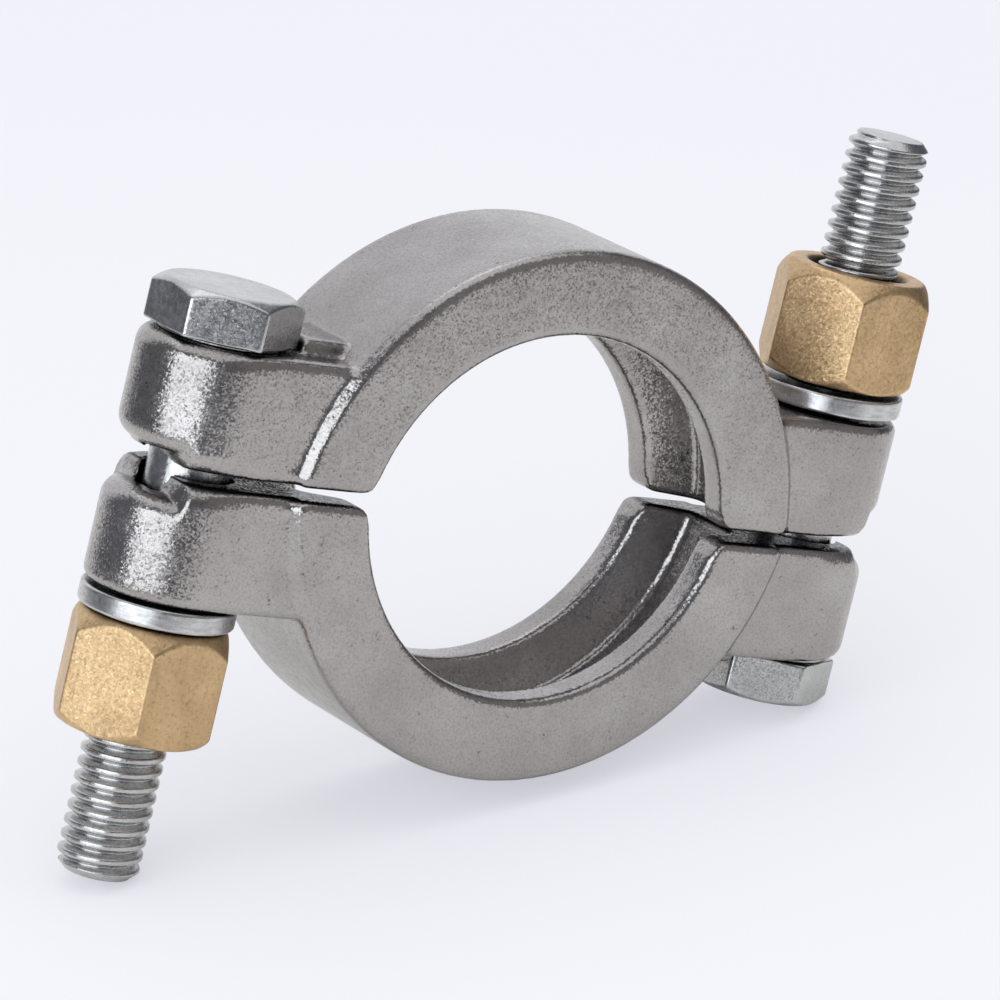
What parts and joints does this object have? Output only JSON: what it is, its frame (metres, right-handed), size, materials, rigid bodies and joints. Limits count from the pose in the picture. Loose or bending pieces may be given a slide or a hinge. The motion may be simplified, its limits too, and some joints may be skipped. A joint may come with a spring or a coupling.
{
  "type": "sanitary bolted pipe clamp",
  "caption": "Heavy pipe clamp whose grooved half rings are drawn together over ferrule flanges by opposed hex bolts with brass nuts.",
  "frame": {"origin": "centre of the pipe opening, midway between the two bolts and between the two halves", "axes": "+Y along the pipe, +Z along the bolts from the lower half to the upper half, +X from the bolt whose head is up to the bolt whose head is down"},
  "size_m": [0.0875, 0.0168, 0.0792],
  "materials": {
    "cast_stainless": "tumbled satin casting with fine dark pits",
    "bolt_steel": "bright machined, heads blasted",
    "washer_steel": "bright polished",
    "nut_brass": "dull machined with scratched faces"
  },
  "bodies": {
    "lower": {"clamp_half_lower": "cast_stainless", "bolt_right": "bolt_steel", "lock_washer_left": "washer_steel"},
    "upper": {"clamp_half_upper": "cast_stainless", "bolt_left": "bolt_steel", "lock_washer_right": "washer_steel"},
    "nut_left": {"nut_left": "nut_brass"},
    "nut_right": {"nut_right": "nut_brass"}
  },
  "joints": [
    {"name": "clamp_open", "type": "slide", "parent": "lower", "child": "upper", "axis": [0, 0, 1], "range_m": [-0.0011, 0.012]},
    {"name": "nut_left_turn", "type": "hinge", "parent": "lower", "child": "nut_left", "pos_m": [-0.0355, 0, -0.02], "axis": [0, 0, 1], "range_deg": [-3067, 286]},
    {"name": "nut_right_turn", "type": "hinge", "parent": "upper", "child": "nut_right", "pos_m": [0.0355, 0, 0.02], "axis": [0, 0, 1], "range_deg": [-286, 3067]}
  ],
  "couplings": [
    {"joint": "nut_left_turn", "follows": "clamp_open", "rad_per_m": -4453},
    {"joint": "nut_right_turn", "follows": "clamp_open", "rad_per_m": 4453}
  ]
}
